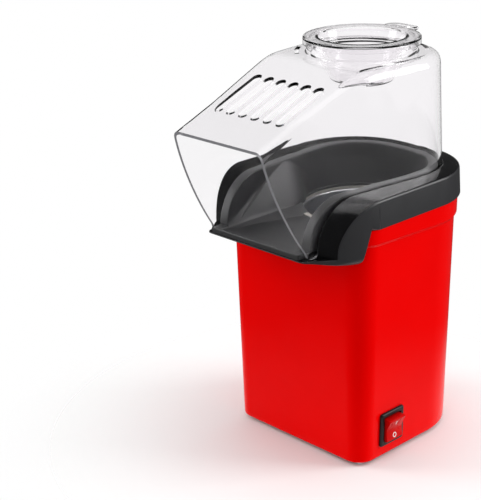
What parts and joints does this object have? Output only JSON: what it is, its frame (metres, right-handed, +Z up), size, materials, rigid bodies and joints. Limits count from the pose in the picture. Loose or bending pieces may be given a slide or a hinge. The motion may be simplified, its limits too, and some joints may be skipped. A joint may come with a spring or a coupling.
{
  "type": "popcorn maker",
  "caption": "Hot-air popcorn maker with a tapered red housing, black pouring spout, clear lift-off hood, measuring-cup lid and a rocker switch.",
  "frame": {"origin": "middle of the whole object's footprint, on the surface it stands on", "axes": "+Z up, the pouring spout faces -Y, the switch is on the +X side"},
  "size_m": [0.1345, 0.1966, 0.2813],
  "materials": {
    "red_housing": "gloss",
    "black_collar": "gloss",
    "dark_tray": "satin",
    "clear_cover": "clear gloss",
    "aluminium": "satin",
    "silicone": "matte",
    "steel": "satin",
    "mica": "matte",
    "heater_wire": "oxidised",
    "grey_plastic": "matte",
    "black_plastic": "satin",
    "circuit_board": "satin",
    "rubber_feet": "matte",
    "red_rocker": "satin",
    "brass": "satin"
  },
  "bodies": {
    "base": {"housing": "red_housing", "collar": "black_collar", "tray": "dark_tray", "popping_chamber": "aluminium", "chamber_gasket": "silicone", "chamber_sleeve": "steel", "mica_frame": "mica", "heater_coil": "heater_wire", "fan_duct": "grey_plastic", "motor_mount": "grey_plastic", "motor_can": "steel", "motor_cap": "black_plastic", "rectifier_board": "circuit_board", "motor_screw_1": "steel", "motor_screw_2": "steel", "base_plate": "black_plastic", "foot_1": "rubber_feet", "foot_2": "rubber_feet", "foot_3": "rubber_feet", "foot_4": "rubber_feet", "base_screw_1": "steel", "base_screw_2": "steel", "base_screw_3": "steel", "base_screw_4": "steel", "cord_gland": "black_plastic", "thermostat": "black_plastic", "thermal_fuse": "brass", "switch_body": "black_plastic", "switch_terminal_1": "brass", "switch_terminal_2": "brass"},
    "hood": {"hood": "clear_cover"},
    "lid": {"cup_lid": "clear_cover"},
    "fan": {"impeller": "grey_plastic", "motor_shaft": "steel"},
    "rocker": {"switch_rocker": "red_rocker"}
  },
  "joints": [
    {"name": "hood_lift", "type": "slide", "parent": "base", "child": "hood", "axis": [0, 0, 1], "range_m": [0, 0.12]},
    {"name": "lid_lift", "type": "slide", "parent": "hood", "child": "lid", "axis": [0, 0, 1], "range_m": [0, 0.06]},
    {"name": "fan_spin", "type": "hinge", "parent": "base", "child": "fan", "pos_m": [0, 0.03748, 0.03], "axis": [0, 0, 1], "continuous": true},
    {"name": "rocker_tilt", "type": "hinge", "parent": "base", "child": "rocker", "pos_m": [0.06096, 0.00077, 0.0235], "axis": [0, -1, 0], "range_deg": [0, 16]}
  ]
}
